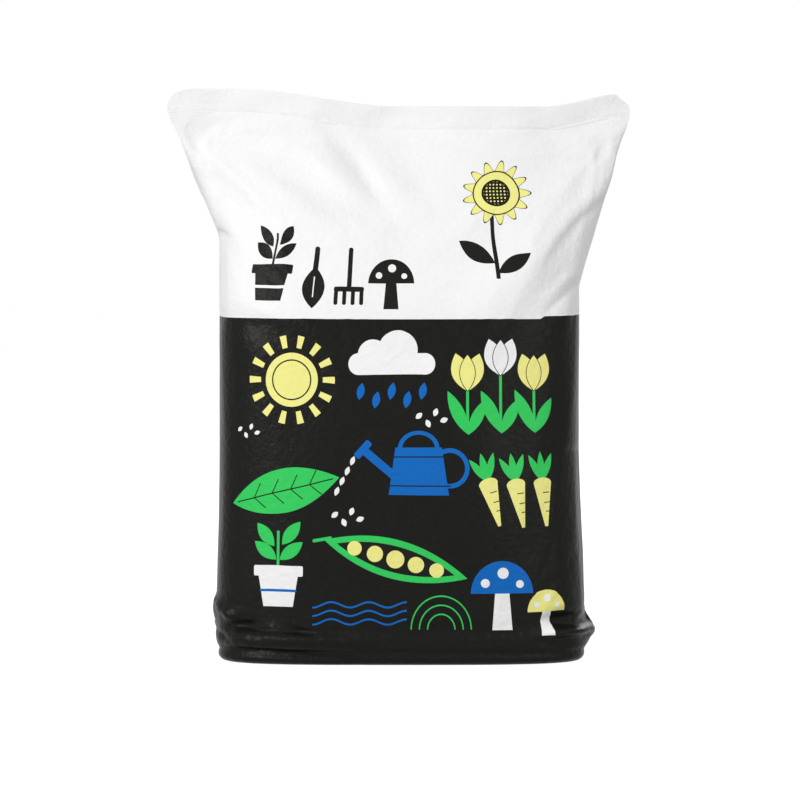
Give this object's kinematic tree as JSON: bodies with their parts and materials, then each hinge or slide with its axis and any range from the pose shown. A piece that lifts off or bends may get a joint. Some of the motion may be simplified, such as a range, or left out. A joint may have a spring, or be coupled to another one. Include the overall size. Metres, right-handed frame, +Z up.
{
  "type": "compost bag",
  "caption": "Filled plastic compost bag standing on its base, with a packed block body, a slack head and a flat welded top seal that ends in two ears.",
  "frame": {"origin": "on the floor under the middle of the bag's box", "axes": "+Z up, the printed front faces -Y, +X to the right of someone who looks at the front"},
  "size_m": [0.5, 0.1816, 0.612],
  "materials": {
    "printed_film": "soft matte polyethylene film, white head and dark printed body"
  },
  "bodies": {
    "root": {"compost_bag": "printed_film"}
  },
  "joints": []
}
